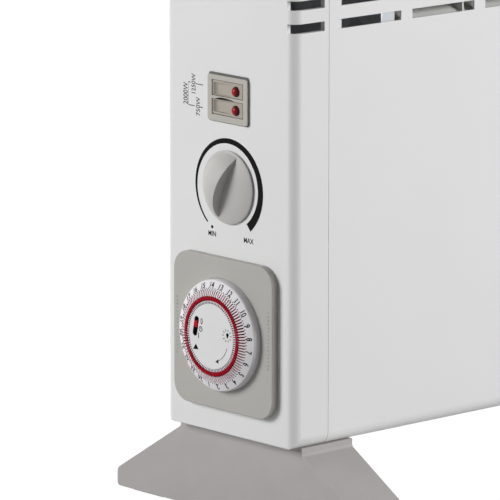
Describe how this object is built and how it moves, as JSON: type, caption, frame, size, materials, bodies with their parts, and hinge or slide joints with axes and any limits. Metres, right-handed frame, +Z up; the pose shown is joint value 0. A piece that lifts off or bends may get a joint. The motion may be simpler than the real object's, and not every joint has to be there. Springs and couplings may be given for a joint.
{
  "type": "convector heater",
  "caption": "Free-standing electric convector heater with rocker switches, thermostat knob and dial timer on one end, louvred front outlet and splayed feet.",
  "frame": {"origin": "on the floor, at the middle of the overall box, controls included", "axes": "+Z up, the louvred front faces -Y, the control end faces -X"},
  "size_m": [0.5426, 0.2, 0.37],
  "materials": {
    "white_paint": "satin",
    "white_cap": "satin",
    "louvre": "satin",
    "galvanised": "satin",
    "mill_steel": "satin",
    "element": "heat dulled",
    "ceramic": "glazed",
    "phenolic": "matte",
    "nylon": "matte",
    "brass": "satin",
    "knob": "satin",
    "switch_grey": "satin",
    "neon": "glossy",
    "plate_grey": "satin",
    "movement_grey": "matte",
    "dial_white": "satin",
    "tappet_red": "satin",
    "can": "satin",
    "black": "matte",
    "wire": "satin",
    "foot_grey": "satin",
    "pad_rubber": "matte",
    "zinc_screw": "satin"
  },
  "bodies": {
    "housing": {"front_panel": "white_paint", "rear_panel": "white_paint", "base_grille": "white_paint", "outlet_grille": "louvre", "control_end_cap": "white_cap", "plain_end_cap": "white_cap", "control_bulkhead": "galvanised", "plain_bulkhead": "galvanised", "heat_baffle": "mill_steel", "element_bracket": "galvanised", "element_1250w": "element", "element_750w": "element", "ceramic_bushes": "ceramic", "thermal_cutout": "phenolic", "thermostat_body": "phenolic", "thermostat_screws": "zinc_screw", "switch_housing": "switch_grey", "switch_tabs": "brass", "timer_plate": "plate_grey", "timer_housing": "movement_grey", "movement_plate": "brass", "timer_face": "dial_white", "timer_motor": "can", "timer_microswitch": "black", "timer_screws": "zinc_screw", "terminal_block": "nylon", "wiring_loom": "wire", "cord_gland": "black", "control_foot": "foot_grey", "plain_foot": "foot_grey", "foot_pads": "pad_rubber", "foot_screws": "zinc_screw", "rear_screws": "zinc_screw"},
    "thermostat_knob": {"thermostat_knob": "knob", "thermostat_shaft": "brass"},
    "rocker_1250w": {"rocker_1250w": "switch_grey", "neon_lens_1250w": "neon"},
    "rocker_750w": {"rocker_750w": "switch_grey", "neon_lens_750w": "neon"},
    "timer_dial": {"timer_dial": "dial_white", "timer_tappets": "tappet_red"},
    "tappet_1": {"tappet_1": "tappet_red"},
    "tappet_2": {"tappet_2": "tappet_red"},
    "tappet_3": {"tappet_3": "tappet_red"},
    "tappet_4": {"tappet_4": "tappet_red"},
    "timer_pinion": {"timer_pinion": "brass"},
    "override_slider": {"override_slider": "tappet_red"}
  },
  "joints": [
    {"name": "knob_turn", "type": "hinge", "parent": "housing", "child": "thermostat_knob", "pos_m": [-0.2587, 0, 0.1811], "axis": [-1, 0, 0], "range_deg": [-115, 165]},
    {"name": "rocker_1250w_tilt", "type": "hinge", "parent": "housing", "child": "rocker_1250w", "pos_m": [-0.2568, 0, 0.2333], "axis": [0, 0, 1], "range_deg": [0, 14]},
    {"name": "rocker_750w_tilt", "type": "hinge", "parent": "housing", "child": "rocker_750w", "pos_m": [-0.2568, 0, 0.2233], "axis": [0, 0, 1], "range_deg": [0, 14]},
    {"name": "dial_spin", "type": "hinge", "parent": "housing", "child": "timer_dial", "pos_m": [-0.2587, 0.0006, 0.103], "axis": [-1, 0, 0], "continuous": true},
    {"name": "pinion_spin", "type": "hinge", "parent": "housing", "child": "timer_pinion", "pos_m": [-0.2587, -0.01528, 0.11887], "axis": [-1, 0, 0], "continuous": true},
    {"name": "tappet_1_slide", "type": "slide", "parent": "timer_dial", "child": "tappet_1", "axis": [0, -1, 0], "range_m": [0, 0.0026]},
    {"name": "tappet_2_slide", "type": "slide", "parent": "timer_dial", "child": "tappet_2", "axis": [0, -0.9979, 0.0654], "range_m": [0, 0.0026]},
    {"name": "tappet_3_slide", "type": "slide", "parent": "timer_dial", "child": "tappet_3", "axis": [0, -0.9914, 0.1305], "range_m": [0, 0.0026]},
    {"name": "tappet_4_slide", "type": "slide", "parent": "timer_dial", "child": "tappet_4", "axis": [0, -0.9808, 0.1951], "range_m": [0, 0.0026]},
    {"name": "override_slide", "type": "slide", "parent": "housing", "child": "override_slider", "axis": [0, 0.1908, -0.9816], "range_m": [-0.0021, 0.0045]}
  ],
  "couplings": [
    {"joint": "pinion_spin", "follows": "dial_spin", "ratio": -6}
  ]
}
